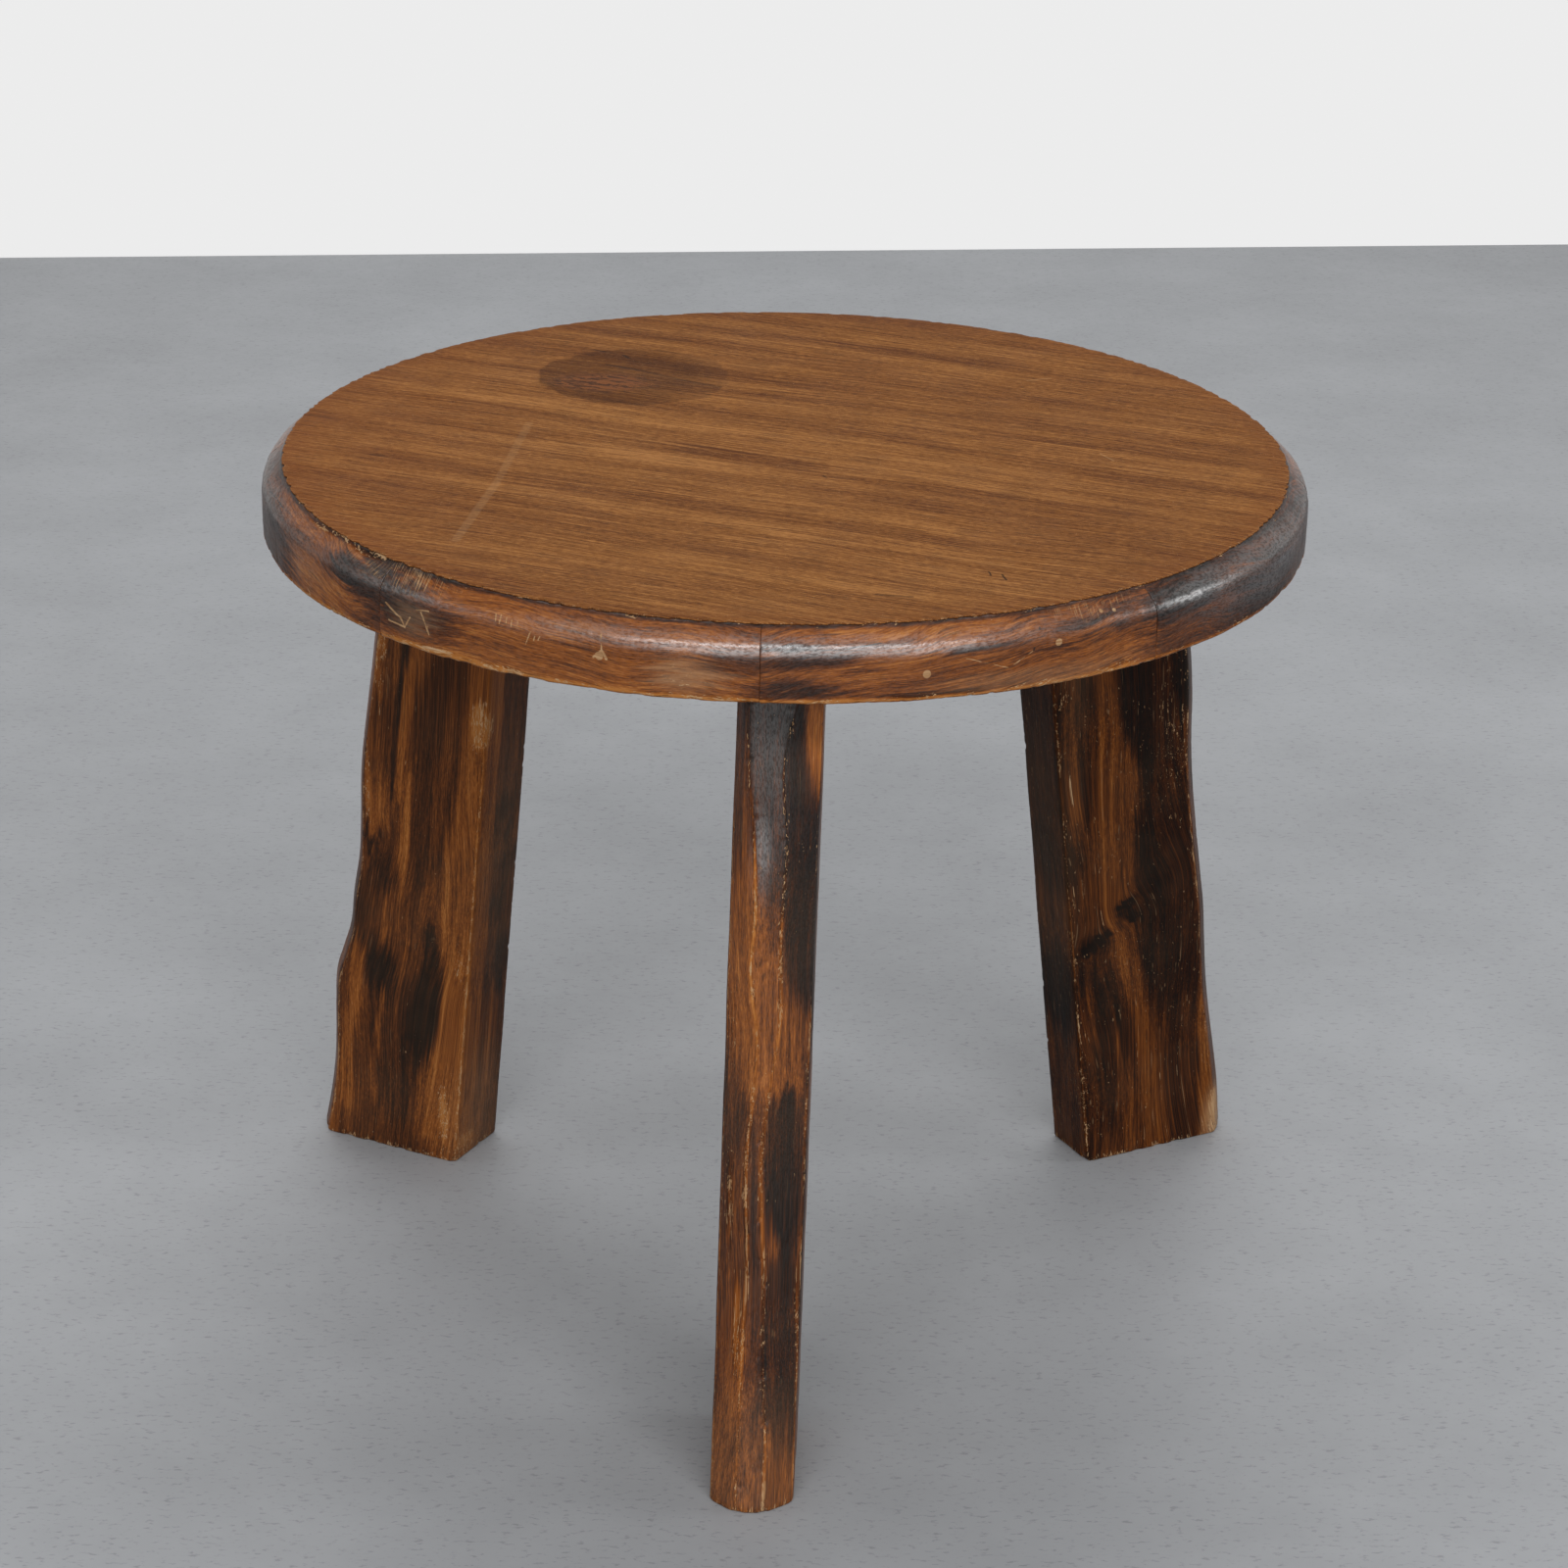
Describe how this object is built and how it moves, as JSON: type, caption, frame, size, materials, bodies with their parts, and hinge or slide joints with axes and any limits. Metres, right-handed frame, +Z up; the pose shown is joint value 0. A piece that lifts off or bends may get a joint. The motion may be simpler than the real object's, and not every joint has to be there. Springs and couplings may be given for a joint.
{
  "type": "side table",
  "caption": "Round side table with a thick segmented wooden rim and a veneered top, on slab legs with wavy natural outer edges.",
  "frame": {"origin": "on the floor, at the bottom centre of the table's bounding box; the round top's own axis stands 15 mm behind it, at Y = +0.015", "axes": "+Z up; -Y to the front, where one leg stands; +X to the right as seen from the front"},
  "size_m": [0.5999, 0.6297, 0.505],
  "materials": {
    "face_veneer": "satin, worn varnish on fine-pored brown veneer",
    "rim_wood": "semi-gloss varnish on streaked red-brown and near-black wood, worn at the arrises",
    "leg_wood": "semi-gloss varnish on orange-brown wood with broad near-black bands, worn at the arrises",
    "core_board": "bare sawn board",
    "backing_veneer": "plain matt brown veneer",
    "dowel_wood": "bare turned hardwood"
  },
  "bodies": {
    "root": {"top_core": "core_board", "backing_veneer": "backing_veneer", "rim_segment_1": "rim_wood", "rim_segment_2": "rim_wood", "rim_segment_3": "rim_wood", "rim_segment_4": "rim_wood", "rim_segment_5": "rim_wood", "rim_segment_6": "rim_wood", "rim_segment_7": "rim_wood", "rim_segment_8": "rim_wood", "face_veneer_1": "face_veneer", "face_veneer_2": "face_veneer", "face_veneer_3": "face_veneer", "face_veneer_4": "face_veneer", "face_veneer_5": "face_veneer", "leg_front": "leg_wood", "dowel_front_inner": "dowel_wood", "dowel_front_outer": "dowel_wood", "leg_left": "leg_wood", "dowel_left_inner": "dowel_wood", "dowel_left_outer": "dowel_wood", "leg_right": "leg_wood", "dowel_right_inner": "dowel_wood", "dowel_right_outer": "dowel_wood"}
  },
  "joints": []
}
